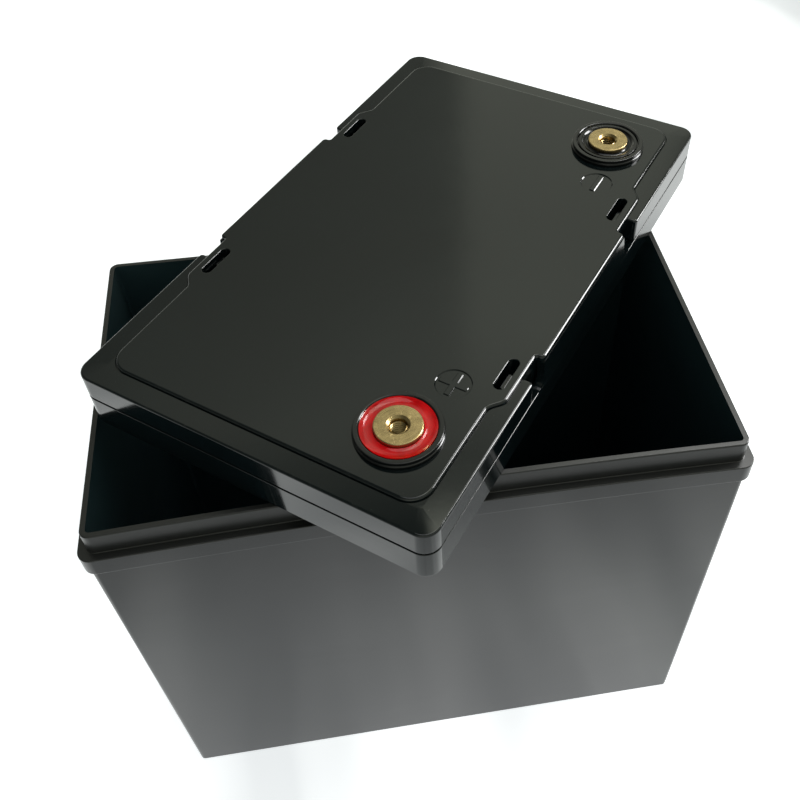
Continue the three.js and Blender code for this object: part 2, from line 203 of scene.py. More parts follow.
def combine(target, operation, *shapes):
    """Joins shapes to the target or cuts them out of it."""
    for bm in shapes:
        tool = to_object("tool", bm)
        modifier = target.modifiers.new("combine", "BOOLEAN")
        modifier.operation = operation
        modifier.solver = "EXACT"
        modifier.object = tool
        depsgraph = bpy.context.evaluated_depsgraph_get()
        result = bpy.data.meshes.new_from_object(target.evaluated_get(depsgraph))
        target.modifiers.clear()
        before = target.data
        target.data = result
        bpy.data.meshes.remove(before)
        bpy.data.objects.remove(tool)
    return target


def mark_worn_edges(mesh):
    """Marks the narrow outward-bending faces, which are the rounded edges that hands and benches rub."""
    narrow, least_bend = 0.0005, 0.02
    bm = bmesh.new()
    bm.from_mesh(mesh)
    layer = bm.faces.layers.float.new("edge_wear")
    for face in bm.faces:
        perimeter = face.calc_perimeter()
        joined = [edge for edge in face.edges if len(edge.link_faces) == 2]
        bend = sum(edge.calc_face_angle_signed(0) * edge.calc_length() for edge in joined) / perimeter
        is_edge = 2 * face.calc_area() / perimeter < narrow and bend > least_bend
        face[layer] = 1.0 if is_edge else 0.0
    bm.to_mesh(mesh)
    bm.free()


def finish_piece(obj, body, material, replaced, place):
    """Puts a piece in its place in the frame, shades it and hands it to its body."""
    mesh = obj.data
    mesh.transform(place)
    mark_worn_edges(mesh)
    mesh.shade_smooth()
    mesh.set_sharp_from_angle(angle=SHARP_ANGLE)
    mesh.materials.clear()
    mesh.materials.append(material)
    weighted = obj.modifiers.new("flat_faces_stay_flat", "WEIGHTED_NORMAL")
    weighted.keep_sharp = True
    weighted.weight = 100
    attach(obj, body)
    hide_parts(*replaced)


# ---------- material tools ----------
class Nodes:
    """A node tree, with short ways to add what the materials and the studio share."""

    def __init__(self, owner):
        owner.use_nodes = True
        self.owner = owner
        self.tree = owner.node_tree
        self.shader = self.tree.nodes.get("Principled BSDF")
        self.coordinates = self.tree.nodes.new("ShaderNodeTexCoord")
        self.place = self.coordinates.outputs["Object"]

    def add(self, kind, **values):
        node = self.tree.nodes.new("ShaderNode" + kind)
        for key, value in values.items():
            setattr(node, key, value)
        return node

    def link(self, source, target):
        self.tree.links.new(source, target)

    def axes(self, vector=None):
        """The X, Y and Z of a vector, or else of the place on the surface."""
        split = self.add("SeparateXYZ")
        self.link(vector or self.place, split.inputs["Vector"])
        return split.outputs

    def stretched(self, scale, turn=0.0):
        """The place on the surface, scaled by its own amount along each axis and turned about Z."""
        mapping = self.add("Mapping")
        mapping.inputs["Scale"].default_value = scale
        mapping.inputs["Rotation"].default_value = (0, 0, turn)
        self.link(self.place, mapping.inputs["Vector"])
        return mapping.outputs["Vector"]

    def noise(self, scale, detail=4.0, roughness=0.5, vector=None, distortion=0.0):
        node = self.add("TexNoise")
        node.inputs["Scale"].default_value = scale
        node.inputs["Detail"].default_value = detail
        node.inputs["Roughness"].default_value = roughness
        node.inputs["Distortion"].default_value = distortion
        self.link(vector or self.place, node.inputs["Vector"])
        return node.outputs["Fac"]

    def ramp(self, source, stops):
        """A level that runs in straight lines from stop to stop."""
        node = self.add("ValToRGB")
        elements = node.color_ramp.elements
        while len(elements) < len(stops):
            elements.new(0.5)
        for element, (place, level) in zip(elements, stops):
            element.position = place
            element.color = (level, level, level, 1)
        self.link(source, node.inputs["Fac"])
        return node.outputs["Color"]

    def remap(self, source, low, high, to_low, to_high):
        node = self.add("MapRange")
        self.link(source, node.inputs["Value"])
        for key, value in (("From Min", low), ("From Max", high), ("To Min", to_low), ("To Max", to_high)):
            node.inputs[key].default_value = value
        return node.outputs["Result"]

    def math(self, operation, a, b):
        node = self.add("Math", operation=operation)
        for index, value in enumerate((a, b)):
            if isinstance(value, (int, float)):
                node.inputs[index].default_value = value
            else:
                self.link(value, node.inputs[index])
        return node.outputs[0]

    def mix(self, factor, a, b):
        node = self.add("Mix", data_type="RGBA")
        self.link(factor, node.inputs["Factor"])
        for key, value in (("A", a), ("B", b)):
            socket = next(s for s in node.inputs if s.name == key and s.type == "RGBA")
            if isinstance(value, tuple):
                socket.default_value = (*value, 1)
            else:
                self.link(value, socket)
        return next(s for s in node.outputs if s.type == "RGBA")

    def bump(self, height, distance, strength=1.0, before=None):
        node = self.add("Bump")
        node.inputs["Distance"].default_value = distance
        node.inputs["Strength"].default_value = strength
        self.link(height, node.inputs["Height"])
        if before is not None:
            self.link(before, node.inputs["Normal"])
        return node.outputs["Normal"]


def scratches(nodes, turn, density):
    """Fine straight marks along one direction, 1 on a scratch and 0 elsewhere."""
    along = nodes.stretched((9, 1900, 9), turn)
    lines = nodes.noise(1.0, detail=1.0, vector=along)
    return nodes.remap(lines, 1 - density, 1 - density + 0.04, 0, 1)


def moulded_abs(name, tint, roughness, cloud):
    """Gloss black moulded ABS: soft flow clouds, a faint ripple, a few hairlines, dust and worn edges."""
    n = Nodes(bpy.data.materials.new(name))
    clouds = n.noise(11, detail=3, vector=n.stretched((1, 1, 1.6), 0.5), distortion=0.8)
    fine_clouds = n.noise(70, detail=4)
    darker, lighter = (tuple(c * shade for c in tint) for shade in (0.82, 1.2))
    colour = n.mix(n.remap(clouds, 0.3, 0.7, 0, 1), darker, lighter)

    dust = n.remap(n.noise(1300, detail=2), 0.76, 0.8, 0, 0.6)
    colour = n.mix(dust, colour, (0.11, 0.11, 0.10))
    edge = n.add("Attribute", attribute_name="edge_wear").outputs["Fac"]
    rubbed = n.math("MULTIPLY", edge, n.remap(n.noise(240, detail=4, roughness=0.7), 0.55, 0.72, 0, 1))
    colour = n.mix(n.math("MULTIPLY", rubbed, 0.3), colour, (0.04, 0.042, 0.042))

    hairlines = n.math("MAXIMUM", scratches(n, 0.4, 0.27), scratches(n, -1.1, 0.25))
    gloss = n.remap(clouds, 0.3, 0.7, roughness, roughness + cloud)
    gloss = n.math("ADD", gloss, n.math("MULTIPLY", hairlines, 0.05))
    gloss = n.math("ADD", gloss, n.remap(fine_clouds, 0.3, 0.7, -0.01, 0.01))
    gloss = n.math("ADD", gloss, n.math("MULTIPLY", n.math("MAXIMUM", dust, rubbed), 0.15))

    ripple = n.bump(clouds, 0.0004, 0.3)
    peel = n.bump(n.noise(420, detail=2), 0.00001, 0.4, before=ripple)
    n.link(colour, n.shader.inputs["Base Color"])
    n.link(gloss, n.shader.inputs["Roughness"])
    n.link(n.bump(hairlines, -0.000002, 0.3, before=peel), n.shader.inputs["Normal"])
    n.shader.inputs["IOR"].default_value = 1.5
    return n.owner


def add_box_zones(material):
    """The box's inside is duller than its outside and has a lighter blue-grey colour as painted light
    inside the box, and the lid has scuffed the lip and ledge.
    """
    n = Nodes(material)
    inside = n.add("Attribute", attribute_name="inside").outputs["Fac"]
    ledge_z = (RIM_Z - LIP_HEIGHT) * MM
    on_lip = n.remap(n.axes()["Z"], ledge_z - 0.0006, ledge_z - 0.0002, 0, 1)
    colour, roughness = (n.shader.inputs[name].links[0].from_socket for name in ("Base Color", "Roughness"))
    colour = n.mix(on_lip, colour, (0.017, 0.018, 0.018))
    # Painted light: the inside faces get a lighter blue-grey colour for the light that falls into the box.
    n.link(n.mix(inside, colour, (0.028, 0.058, 0.072)), n.shader.inputs["Base Color"])
    duller = n.math("MULTIPLY", n.math("MAXIMUM", inside, on_lip), 0.18)
    n.link(n.math("ADD", roughness, duller), n.shader.inputs["Roughness"])
    return material


def mark_inside(mesh):
    """Marks the faces that look in towards the box's middle, and the top of its floor."""
    layer = mesh.attributes.new("inside", "FLOAT", "FACE")
    for face, value in zip(mesh.polygons, layer.data):
        inwards = face.normal.xy.dot(face.center.xy) < -0.3 * face.center.xy.length
        on_floor = face.normal.z > 0.3 and face.center.z < RIM_Z / 2
        value.value = 1.0 if inwards or on_floor else 0.0


def turned_brass(name, tint):
    """Pale brass, faced on a lathe: fine rings, a few marks that run out from the hole, and dull spots."""
    n = Nodes(bpy.data.materials.new(name))
    x, y, z = n.axes()
    angle = n.math("ARCTAN2", y, x)
    radius = n.math("SQRT", n.math("ADD", n.math("MULTIPLY", x, x), n.math("MULTIPLY", y, y)), 0)
    polar = n.add("CombineXYZ")
    n.link(n.math("MULTIPLY", angle, 9.0), polar.inputs["X"])
    n.link(n.math("MULTIPLY", radius, 160.0), polar.inputs["Y"])
    n.link(z, polar.inputs["Z"])
    spokes = n.remap(n.noise(2.2, detail=2, vector=polar.outputs["Vector"]), 0.62, 0.7, 0, 1)
    rings = n.add("CombineXYZ")
    n.link(n.math("MULTIPLY", radius, 5200.0), rings.inputs["X"])
    n.link(n.math("MULTIPLY", angle, 0.7), rings.inputs["Y"])
    turning = n.noise(1.0, detail=3, vector=rings.outputs["Vector"])
    grain = n.noise(2600, detail=3, roughness=0.7)

    colour = n.mix(n.remap(n.noise(420, detail=4), 0.35, 0.7, 0, 1), tint, tuple(c * 0.72 for c in tint))
    colour = n.mix(n.math("MULTIPLY", spokes, 0.5), colour, tuple(min(c * 1.25, 1) for c in tint))
    n.link(colour, n.shader.inputs["Base Color"])
    gloss = n.math("ADD", n.remap(turning, 0.3, 0.7, 0.2, 0.34), n.remap(grain, 0.3, 0.7, -0.04, 0.06))
    n.link(gloss, n.shader.inputs["Roughness"])
    normal = n.bump(turning, 0.00003, 0.5)
    normal = n.bump(grain, 0.00002, 0.4, before=normal)
    n.link(n.bump(spokes, -0.00003, 0.6, before=normal), n.shader.inputs["Normal"])
    n.shader.inputs["Metallic"].default_value = 1.0
    return n.owner


def cast_resin(name, tint, deep, coat):
    """Cast epoxy that set with a glassy, slightly uneven skin."""
    n = Nodes(bpy.data.materials.new(name))
    pools = n.noise(180, detail=2, distortion=0.4)
    n.link(n.mix(n.remap(pools, 0.35, 0.65, 0, 1), tint, deep), n.shader.inputs["Base Color"])
    n.link(n.remap(n.noise(900, detail=3), 0.3, 0.7, 0.1, 0.2), n.shader.inputs["Roughness"])
    n.link(n.bump(pools, 0.0003, 0.15), n.shader.inputs["Normal"])
    n.shader.inputs["Specular IOR Level"].default_value = 0.25
    n.shader.inputs["Coat Weight"].default_value = coat
    n.shader.inputs["Coat Roughness"].default_value = 0.04
    return n.owner


def rubber(name):
    n = Nodes(bpy.data.materials.new(name))
    speckle = n.noise(900, detail=5, roughness=0.7)
    n.link(n.mix(speckle, (0.012, 0.012, 0.012), (0.035, 0.034, 0.033)), n.shader.inputs["Base Color"])
    n.link(n.remap(speckle, 0.3, 0.7, 0.55, 0.8), n.shader.inputs["Roughness"])
    n.link(n.bump(speckle, 0.00004, 0.6), n.shader.inputs["Normal"])
    return n.owner


BOX_ABS = add_box_zones(moulded_abs("box_abs", (0.0015, 0.003, 0.0042), 0.12, 0.08))
LID_ABS = moulded_abs("lid_abs", (0.004, 0.0075, 0.009), 0.085, 0.03)
SEAT_ABS = moulded_abs("seat_abs", (0.003, 0.004, 0.005), 0.1, 0.04)
TERMINAL_BRASS = turned_brass("terminal_brass", (0.46, 0.345, 0.165))
HARDWARE_BRASS = turned_brass("hardware_brass", (0.44, 0.32, 0.15))
RED_RESIN = cast_resin("red_resin", (0.90, 0.003, 0.008), (0.66, 0.002, 0.005), 0.4)
BLACK_RESIN = cast_resin("black_resin", (0.002, 0.002, 0.003), (0.004, 0.004, 0.005), 0.3)
RUBBER = rubber("rubber")


# ---------- box ----------
def box_ring(size, z, inset):
    """One ring of the box at a height: a rounded rectangle whose long sides bend inwards."""
    length, width, radius = size[0] - 2 * inset, size[1] - 2 * inset, max(size[2] - inset, 0.8)
    bow = WALL_BOW * (z / RIM_Z) ** 1.5
    half = length / 2 - radius
    corner = arc((half, width / 2 - radius), radius, 0, 90, 10)
    steps = 48
    side = [(half - 2 * half * (step + 1) / steps, width / 2) for step in range(steps - 1)]
    back = [*corner, *side, *[(-x, y) for x, y in reversed(corner)]]
    ring = [*back, *[(-x, -y) for x, y in back]]
    return [
        (x, y - bow * max(0, 1 - (2 * x / length) ** 2) * (2 * y / width), z)
        for x, y in ring
    ]


def blend_sizes(a, b, t):
    return tuple(one + (other - one) * t for one, other in zip(a, b))


def build_case_box():
    """The box as one skin of rings, from the foot up over the rim and down to the floor inside."""
    ledge_z = RIM_Z - LIP_HEIGHT
    band_z = ledge_z - BAND_HEIGHT
    foot, band_edge, ledge_edge, fillet, lip_edge = 1.6, 0.5, 0.35, 0.3, 0.5
    inner_edge, floor_fillet = 0.5, 2.0
    wall_steps, hollow_steps = 12, 10
    rings = []

    def add(size, profile):
        """Adds a ring for each (inset, z) point of a profile round one outline."""
        for inset, z in profile:
            rings.append(box_ring(size, z, inset))

    add(BASE, [(foot - x, z + foot) for x, z in arc((0, 0), foot, -90, -8, 7)])
    for step in range(1, wall_steps + 1):
        z = foot + (band_z - band_edge - foot) * step / wall_steps
        add(blend_sizes(BASE, BODY_TOP, z / band_z), [(0, z)])
    under_band = arc((0, 0), band_edge, 90, 180, 5)[::-1]
    add(BODY_TOP, [(-band_edge - x, band_z - band_edge + z) for x, z in under_band][1:])
    add(BAND, [(band_edge - x, band_z + band_edge + z) for x, z in arc((0, 0), band_edge, -90, 0, 5)])
    add(BAND, [(ledge_edge - x, ledge_z - ledge_edge + z) for x, z in arc((0, 0), ledge_edge, 0, 90, 5)])
    add(LIP, [(x - fillet, ledge_z + fillet + z) for x, z in arc((0, 0), fillet, -90, 0, 5)])
    add(LIP, [(lip_edge - x, RIM_Z - lip_edge + z) for x, z in arc((0, 0), lip_edge, 0, 90, 6)])
    into_mouth = arc((-inner_edge, 0), inner_edge, 90, 0, 4)
    add(LIP, [(LIP_THICKNESS - inner_edge - x, RIM_Z - inner_edge + z) for x, z in into_mouth])
    mouth = (LIP[0] - 2 * LIP_THICKNESS, LIP[1] - 2 * LIP_THICKNESS, LIP[2] - LIP_THICKNESS)
    hollow_foot = (BASE[0] - 2 * WALL, BASE[1] - 2 * WALL, mouth[2])
    hollow_top_z, hollow_foot_z = RIM_Z - inner_edge, FLOOR_THICKNESS + floor_fillet
    for step in range(1, hollow_steps + 1):
        z = hollow_top_z + (hollow_foot_z - hollow_top_z) * step / hollow_steps
        add(blend_sizes(hollow_foot, mouth, z / RIM_Z), [(0, z)])
    floor_size = blend_sizes(hollow_foot, mouth, FLOOR_THICKNESS / RIM_Z)
    onto_floor = arc((0, 0), floor_fillet, -10, -90, 6)
    add(floor_size, [(floor_fillet - x, hollow_foot_z + z) for x, z in onto_floor])
    obj = to_object("case_box_moulding", stack(rings))
    mark_inside(obj.data)
    finish_piece(obj, "case", BOX_ABS, ["case_box"], Matrix.Scale(MM, 4))


# ---------- lid ----------
def lid_corner(half_x, half_y, radius, steps=10):
    return arc((half_x - radius, half_y - radius), radius, 0, 90, steps)


def rim_outline():
    half_x, half_y = LID[0] / 2, LID[1] / 2
    rim_end = arc((NOTCH[1] + RIM_END, half_y - RIM_END), RIM_END, 90, 180, RIM_END_STEPS)
    back_y = PANEL_WIDE_HALF_Y - 0.03  # just inside the panel's wall
    return fourfold([*lid_corner(half_x, half_y, LID[2]), *rim_end, (NOTCH[1], back_y)])


def rim_crest():
    """The line that the rim's top slopes up to, point for point with the rim's outline."""
    half_x, half_y, radius = LID[0] / 2 - RIM_WIDTH, LID[1] / 2 - RIM_WIDTH, 1.0
    rim_end = [(NOTCH[1] + RIM_END, half_y)] * (RIM_END_STEPS + 1)
    return fourfold([*lid_corner(half_x, half_y, radius), *rim_end, (NOTCH[1], half_y)])


def rim_shape():
    """The rim's block: a plain foot, a rounded outer edge, and a top that slopes up to the panel."""
    outline, foot, edge = rim_outline(), 0.3, 0.8
    low = PARTING_Z + PARTING_OPENING
    profile = [(foot - x, low + foot + z) for x, z in arc((0, 0), foot, -90, 0, 4)]
    profile += [(edge - x, RIM_OUTER_Z - edge + z) for x, z in arc((0, 0), edge, 0, 87, 7)]
    rings = [at_height(offset(outline, [-inset] * len(outline)), z) for inset, z in profile]
    return stack([*rings, at_height(rim_crest(), RIM_INNER_Z)])


def panel_outline():
    """The raised panel with its flares beside the slots and its lips over the tabs."""
    outer, inner = PANEL_FLARE
    low, high = PANEL_HALF[1], PANEL_WIDE_HALF_Y
    steps = 12
    flare = [
        (outer + (inner - outer) * t, low + (high - low) * (1 - math.cos(math.pi * t)) / 2)
        for t in [step / steps for step in range(steps + 1)]
    ]
    corner, end = 0.8, 1.8
    straight = [(NOTCH[1] + 3.5, high), (NOTCH[1] + 0.5, high)]
    into_lip = arc((NOTCH[0] + corner, high + corner), corner, 270, 180, 4)
    lip_end = arc((NOTCH[0] - end, LIP_OVER_TAB_HALF_Y - end), end, 0, 90, 5)
    return fourfold([
        *lid_corner(*PANEL_HALF, PANEL_RADIUS, 14),
        *flare, *straight,
        *into_lip, *lip_end,
    ])


def panel_groove():
    """The cutter for a fine groove in the rim round the foot of the panel, wider at its top."""
    outline = panel_outline()
    depth, lip, clear = 0.4, 0.12, 0.1
    profile = [(0.25, RIM_INNER_Z - depth), (0.32, RIM_INNER_Z - lip), (0.5, RIM_INNER_Z + clear)]
    return stack([at_height(offset(outline, [grow] * len(outline)), z) for grow, z in profile])


def rounded_slab(outline, low, high, low_edge, high_edge):
    """A slab of an outline whose lower and upper edges are rounded inwards."""
    profile = [(low_edge - x, low + low_edge + z) for x, z in arc((0, 0), low_edge, -90, 0, EDGE_STEPS)]
    profile += [(high_edge - x, high - high_edge + z) for x, z in arc((0, 0), high_edge, 0, 90, EDGE_STEPS)]
    return stack([at_height(offset(outline, [-inset] * len(outline)), z) for inset, z in profile])


def slot_stack(x, y, size, profile):
    """A shape with a round-ended outline, from a profile of (growth, z) points."""
    half = (size["length"] - size["width"]) / 2
    rings = []
    for growth, z in profile:
        radius = size["width"] / 2 + growth
        ends = [*arc((x + half, y), radius, -90, 90, 16), *arc((x - half, y), radius, 90, 270, 16)]
        rings.append(at_height(ends, z))
    return stack(rings)


def slot_cutter(x, y):
    """The slot's upper edge is rounded, so the cutter opens out towards the top."""
    edge = 0.28
    rounded = [(edge - c, PANEL_TOP_Z - edge + z) for c, z in arc((0, 0), edge, 0, 84, EDGE_STEPS)]
    profile = [(0, PLATE_UNDERSIDE_Z - OVERLAP), *rounded, (edge, PANEL_TOP_Z + OVERLAP)]
    return slot_stack(x, y, SLOT, profile)


def handle_rib(x, y):
    """The rib that stands under a slot, for a strap or cord to loop round. Its top is rounded."""
    edge = 0.7
    rounded = [(c - edge, RIB["top"] - edge + z) for c, z in arc((0, 0), edge, 0, 84, EDGE_STEPS)]
    return slot_stack(x, y, RIB, [(0, POCKET["floor"] - OVERLAP), *rounded])


def pocket_shapes(sx, sy):
    """The block under a slot, and the hollow in it that opens into the notch."""
    inner, outer, back, wall, floor = (POCKET[key] for key in ("inner", "outer", "back", "wall", "floor"))
    front = PANEL_WIDE_HALF_Y - wall
    mouth_side, mouth_top = 0.8, 0.4  # what stays of the walls beside and above the mouth

    def placed(low, high):
        xs, ys = sorted((sx * low[0], sx * high[0])), sorted((sy * low[1], sy * high[1]))
        return block((xs[0], ys[0], low[2]), (xs[1], ys[1], high[2]))

    solid = placed(
        (inner - wall, back - wall, floor - wall),
        (outer + wall, TONGUE_HALF_Y, PLATE_UNDERSIDE_Z + OVERLAP),
    )
    hollow = placed((inner, back, floor), (outer, front, PLATE_UNDERSIDE_Z + OVERLAP / 2))
    mouth = placed(
        (inner, front - OVERLAP, floor),
        (NOTCH[1] - mouth_side, PANEL_WIDE_HALF_Y + OVERLAP, PLATE_UNDERSIDE_Z - mouth_top),
    )
    return solid, [hollow, mouth]


def mark_cutters():
    """Shallow round recesses, with the plus and minus left standing in them."""
    floor_z = PANEL_TOP_Z - MARK["depth"]
    radius, flare, corner = MARK["radius"], 0.35, 0.3
    slope, sunk = 0.3, 0.04  # the bars' sides slope, and their tops stay a little below the panel's
    wall = [(radius - flare, floor_z), (radius, PANEL_TOP_Z), (radius + 0.5, PANEL_TOP_Z + OVERLAP)]
    bar = [(slope, floor_z - OVERLAP), (slope, floor_z), (0, PANEL_TOP_Z - sunk)]
    half, width = MARK["bar"] / 2, MARK["width"] / 2
    cutters = []
    for side in (-1, 1):
        disc = to_object("disc", lathe(wall, HOLE_SEGMENTS))
        arms = [(half, width)] if side > 0 else [(half, width), (width, half)]
        for reach_x, reach_y in arms:
            rings = []
            for growth, z in bar:
                outline = rounded_rectangle(2 * (reach_x + growth), 2 * (reach_y + growth), corner, 3)
                rings.append(at_height(outline, z))
            combine(disc, "DIFFERENCE", stack(rings))
        bm = bmesh.new()
        bm.from_mesh(disc.data)
        bmesh.ops.translate(bm, verts=bm.verts, vec=(side * MARK["x"], MARK["y"], 0))
        bpy.data.objects.remove(disc)
        cutters.append(bm)
    return cutters


def build_lid_cover():
    """The rim and the raised panel, the tongue under them, and the slots, pockets, ribs and marks."""
    panel_foot_z, low_edge, top_edge = TAB["top"] + 0.2, 0.1, 0.95
    cover = to_object("lid_cover_moulding", rim_shape())
    combine(cover, "DIFFERENCE", panel_groove())
    combine(cover, "UNION", rounded_slab(panel_outline(), panel_foot_z, PANEL_TOP_Z, low_edge, top_edge))
    length, width, radius = LIP[0] - 2 * GAP, 2 * TONGUE_HALF_Y, LID[2]
    tongue = rounded_rectangle(length, width, radius)
    combine(cover, "UNION", prism(tongue, PARTING_Z - TONGUE_LENGTH, PLATE_UNDERSIDE_Z + OVERLAP))
    hollow = rounded_rectangle(
        length - 2 * TONGUE_THICKNESS, width - 2 * TONGUE_THICKNESS, radius - TONGUE_THICKNESS
    )
    combine(cover, "DIFFERENCE", prism(hollow, 0, PLATE_UNDERSIDE_Z))
    for sx in (1, -1):
        for sy in (1, -1):
            solid, hollows = pocket_shapes(sx, sy)
            combine(cover, "UNION", solid)
            combine(cover, "DIFFERENCE", *hollows, slot_cutter(sx * SLOT["x"], sy * SLOT["y"]))
            combine(cover, "UNION", handle_rib(sx * SLOT["x"], sy * SLOT["y"]))
    hole_radius, hole_foot_z, hole_top_z = SEAT_HUB_RADIUS + GAP, 15, 30
    for side in (1, -1):
        hole = lathe([(hole_radius, hole_foot_z), (hole_radius, hole_top_z)], HOLE_SEGMENTS)
        bmesh.ops.translate(hole, verts=hole.verts, vec=(side * TERMINAL[0], TERMINAL[1], 0))
        combine(cover, "DIFFERENCE", hole)
    combine(cover, "DIFFERENCE", *mark_cutters())
    finish_piece(cover, "lid", LID_ABS, ["lid_cover"], LID_PLACE)


def tab_shape(side):
    """One tab, drawn from the side, whose feet flow into the ring and which leans in as it rises."""
    foot, thickness, lean = TAB["foot"], TAB["thickness"], TAB["lean"]
    top = TAB["top"] + 0.15
    lean_from = 0.35  # how far below the ring's top the tab starts to lean
    foot_x, foot_z = NOTCH[0] + foot, RING_TOP_Z - 0.01 + foot
    right = arc((foot_x, foot_z), foot, 270, 180, 10)
    outline = [(-foot_x, RING_TOP_Z - OVERLAP), (foot_x, RING_TOP_Z - OVERLAP), *right, (NOTCH[0], top)]
    outline += [(-NOTCH[0], top), *[(-x, z) for x, z in reversed(right)]]
    bm = bmesh.new()
    faces = []
    for depth in (LID[1] / 2, LID[1] / 2 - thickness):
        leaning = [depth - lean * max(0, z - RING_TOP_Z + lean_from) for _, z in outline]
        faces.append([bm.verts.new((side * x, side * y, z)) for (x, z), y in zip(outline, leaning)])
    outer, inner = faces
    for a in range(len(outline)):
        b = (a + 1) % len(outline)
        bm.faces.new((outer[a], outer[b], inner[b], inner[a]))
    bm.faces.new(outer)
    bm.faces.new(list(reversed(inner)))
    bmesh.ops.recalc_face_normals(bm, faces=bm.faces)
    return bm


def build_lid_skirt():
    """The lid's lower ring, which fits over the box's lip, with its two tabs."""
    low_edge, parting_edge = 0.5, 0.3
    ring = rounded_slab(rounded_rectangle(*LID, 12), 0, RING_TOP_Z, low_edge, parting_edge)
    skirt = to_object("lid_skirt_moulding", ring)
    opening = rounded_rectangle(LIP[0] + 2 * PLAY, LIP[1] + 2 * PLAY, LIP[2] + PLAY)
    combine(skirt, "DIFFERENCE", prism(opening, -OVERLAP, RING_TOP_Z + OVERLAP))
    combine(skirt, "UNION", tab_shape(1), tab_shape(-1))
    finish_piece(skirt, "lid", LID_ABS, ["lid_skirt"], LID_PLACE)


# ---------- terminals ----------
def terminal_place(pole):
    """Where a terminal stands, in metres. Its heights start at the lid's lower edge."""
    low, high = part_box(f"{pole}_terminal_post")
    centre = (low + high) / 2
    return Vector((centre.x, centre.y, skirt_low.z))


def finish_turned(name, bm, pole, material, node):
    """A turned piece has its origin on the terminal's axis, so that its material can follow the turning."""
    obj = to_object(name, bm)
    finish_piece(obj, "lid", material, [node], Matrix.Scale(MM, 4))
    obj.location = terminal_place(pole)


def rounded_profile(points, radius):
    """Rounds each corner of an open (radius, z) profile, apart from its two ends."""
    steps = 4
    done = [points[0]]
    for before, here, after in zip(points, points[1:], points[2:]):
        corner, a, b = Vector(here), Vector(before), Vector(after)
        into, out_of = (a - corner), (b - corner)
        cut = min(radius, into.length * 0.45, out_of.length * 0.45)
        start, end = corner + into.normalized() * cut, corner + out_of.normalized() * cut
        for step in range(steps + 1):
            t = step / steps
            done.append(tuple(start * (1 - t) ** 2 + corner * 2 * t * (1 - t) + end * t ** 2))
    return [*done, points[-1]]


def thread(radius, depth, pitch, low, high):
    """A helical thread, as a strip that winds up the wall of a hole."""
    bm = bmesh.new()
    root = radius + depth
    profile = [(radius, 0.0), (radius, 0.12), (root, 0.44), (root, 0.56), (radius, 0.88), (radius, 1.0)]
    turns = int((high - low) / pitch)
    rows = []
    for step in range(turns * HOLE_SEGMENTS + 1):
        angle = 2 * math.pi * step / HOLE_SEGMENTS
        base = low + pitch * step / HOLE_SEGMENTS
        row = [(r * math.cos(angle), r * math.sin(angle), base + pitch * z) for r, z in profile]
        rows.append([bm.verts.new(point) for point in row])
    for here, after in zip(rows, rows[1:]):
        for index in range(len(profile) - 1):
            bm.faces.new((here[index], here[index + 1], after[index + 1], after[index]))
    bmesh.ops.recalc_face_normals(bm, faces=bm.faces)
    return bm


def build_post(pole):
    """The post has a chamfered shank, a round head with a softened edge, and a threaded hole."""
    shank, bore, chamfer, thread_depth, pitch = 5.3, 2.6, 3.9, 0.5, 1.0
    end_z, head_z, top = 10.5, 24.9, POST_TOP_Z
    shank_chamfer, head_edge = 0.6, 0.4
    hole_wall, hole_foot = bore + thread_depth, top - 11.8
    outside = [(shank - shank_chamfer, end_z), (shank, end_z + shank_chamfer), (shank, head_z)]
    outside += [(POST_RADIUS, head_z), (POST_RADIUS, top), (chamfer, top)]
    hole = [(hole_wall, top - (chamfer - hole_wall)), (hole_wall, hole_foot), (0.4, hole_foot - 0.2)]
    bm = lathe([*rounded_profile(outside, head_edge), *hole])
    winding = thread(bore, thread_depth - 0.05, pitch, hole_foot, top - pitch)
    mesh = bpy.data.meshes.new("thread")
    winding.to_mesh(mesh)
    winding.free()
    bm.from_mesh(mesh)
    bpy.data.meshes.remove(mesh)
    node = f"{pole}_terminal_post"
    finish_turned(f"{pole}_post_turned", bm, pole, TERMINAL_BRASS, node)


def build_seat(pole):
    """A hub through the lid, a flange with a stepped side, and a well for the resin and the post's head."""
    bore, well, head_well, edge = 5.6, 12.5, POST_RADIUS + 0.4, 0.3
    hub_end, flange = PLATE_UNDERSIDE_Z + 0.4, PANEL_TOP_Z + 0.02
    step_z, top_z, well_z, head_well_z = 25.15, 26.7, 25.2, 23.2
    step, chamfer = 0.35, 0.4
    side = SEAT_RADIUS - step
    profile = [
        (bore, hub_end), (SEAT_HUB_RADIUS, hub_end), (SEAT_HUB_RADIUS, flange), (SEAT_RADIUS, flange),
        (SEAT_RADIUS, step_z), (side, step_z + 0.2), (side, top_z), (well + chamfer, top_z),
        (well, top_z - chamfer), (well, well_z), (head_well, well_z), (head_well, head_well_z),
        (bore, head_well_z), (bore, hub_end),
    ]
    bm = lathe(rounded_profile(profile, edge)[:-1], closed=True)
    node = f"{pole}_terminal_seat"
    finish_turned(f"{pole}_seat_moulding", bm, pole, SEAT_ABS, node)


